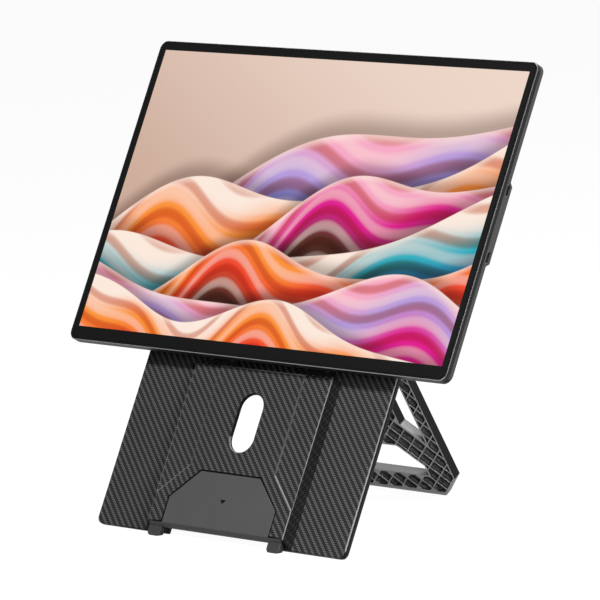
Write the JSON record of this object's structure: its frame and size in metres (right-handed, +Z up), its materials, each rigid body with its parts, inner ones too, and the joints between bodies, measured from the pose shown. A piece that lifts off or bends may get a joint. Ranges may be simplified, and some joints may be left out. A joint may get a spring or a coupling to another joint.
{
  "type": "laptop screen extender",
  "caption": "Portable flat display that tilts on a leaning carbon-look stand panel, held up by a ribbed folding kickstand, with a pull-down slide and feet at the panel's foot.",
  "frame": {"origin": "on the floor, under the middle of the whole part's bounding box", "axes": "+X to the right seen from the front, +Y to the back, +Z up"},
  "size_m": [0.358, 0.1982, 0.3222],
  "materials": {
    "carbon_panel": "woven carbon-look twill, satin",
    "dark_plastic": "fine matt",
    "black_bezel": "smooth satin",
    "grey_plate": "smooth matt",
    "dark_mark": "matt ink",
    "rubber_grey": "matt",
    "steel": "brushed",
    "aluminium_plate": "plain",
    "screen_glass": "lit screen",
    "board_green": "solder mask"
  },
  "bodies": {
    "stand": {"panel_front": "carbon_panel", "panel_back": "dark_plastic", "platform_shell": "carbon_panel", "panel_screws": "steel", "kick_hinge_left": "dark_plastic", "kick_hinge_right": "dark_plastic", "kick_hinge_screws": "steel", "kick_pin_left": "steel", "kick_pin_right": "steel", "tilt_base_left": "steel", "tilt_base_right": "steel", "tilt_base_screws": "steel", "tilt_pin_left": "steel", "tilt_pin_right": "steel", "slide_stop_pins": "steel", "slide_friction_pads": "rubber_grey"},
    "display": {"rear_cover": "dark_plastic", "display_frame": "dark_plastic", "front_bezel": "black_bezel", "lcd_panel": "screen_glass", "mid_plate": "aluminium_plate", "driver_board": "board_green", "usb_port_upper": "steel", "usb_port_lower": "steel", "speaker_left": "dark_plastic", "speaker_right": "dark_plastic", "key_board": "board_green", "hinge_plate": "aluminium_plate", "tilt_leaf_left": "steel", "tilt_leaf_right": "steel", "tilt_leaf_screws": "steel", "cover_screws": "steel"},
    "kickstand": {"kickstand": "dark_plastic"},
    "slide": {"slide_plate": "grey_plate", "arrow_mark": "dark_mark", "foot_pad_left": "rubber_grey", "foot_pad_right": "rubber_grey"},
    "power_key": {"power_button": "dark_plastic"},
    "menu_key": {"menu_button": "dark_plastic"}
  },
  "joints": [
    {"name": "display_tilt", "type": "hinge", "parent": "stand", "child": "display", "pos_m": [0, -0.02762, 0.12415], "axis": [1, 0, 0], "range_deg": [-10, 32]},
    {"name": "kick_fold", "type": "hinge", "parent": "stand", "child": "kickstand", "pos_m": [0, 0.00932, 0.1579], "axis": [1, 0, 0], "range_deg": [-59.5, 0]},
    {"name": "slide_pull", "type": "slide", "parent": "stand", "child": "slide", "axis": [0, -0.5084, -0.8611], "range_m": [0, 0.03]},
    {"name": "power_press", "type": "slide", "parent": "display", "child": "power_key", "axis": [1, 0, 0], "range_m": [0, 0.0008], "stiffness_N_per_m": 1500},
    {"name": "menu_press", "type": "slide", "parent": "display", "child": "menu_key", "axis": [1, 0, 0], "range_m": [0, 0.0008], "stiffness_N_per_m": 1500}
  ]
}
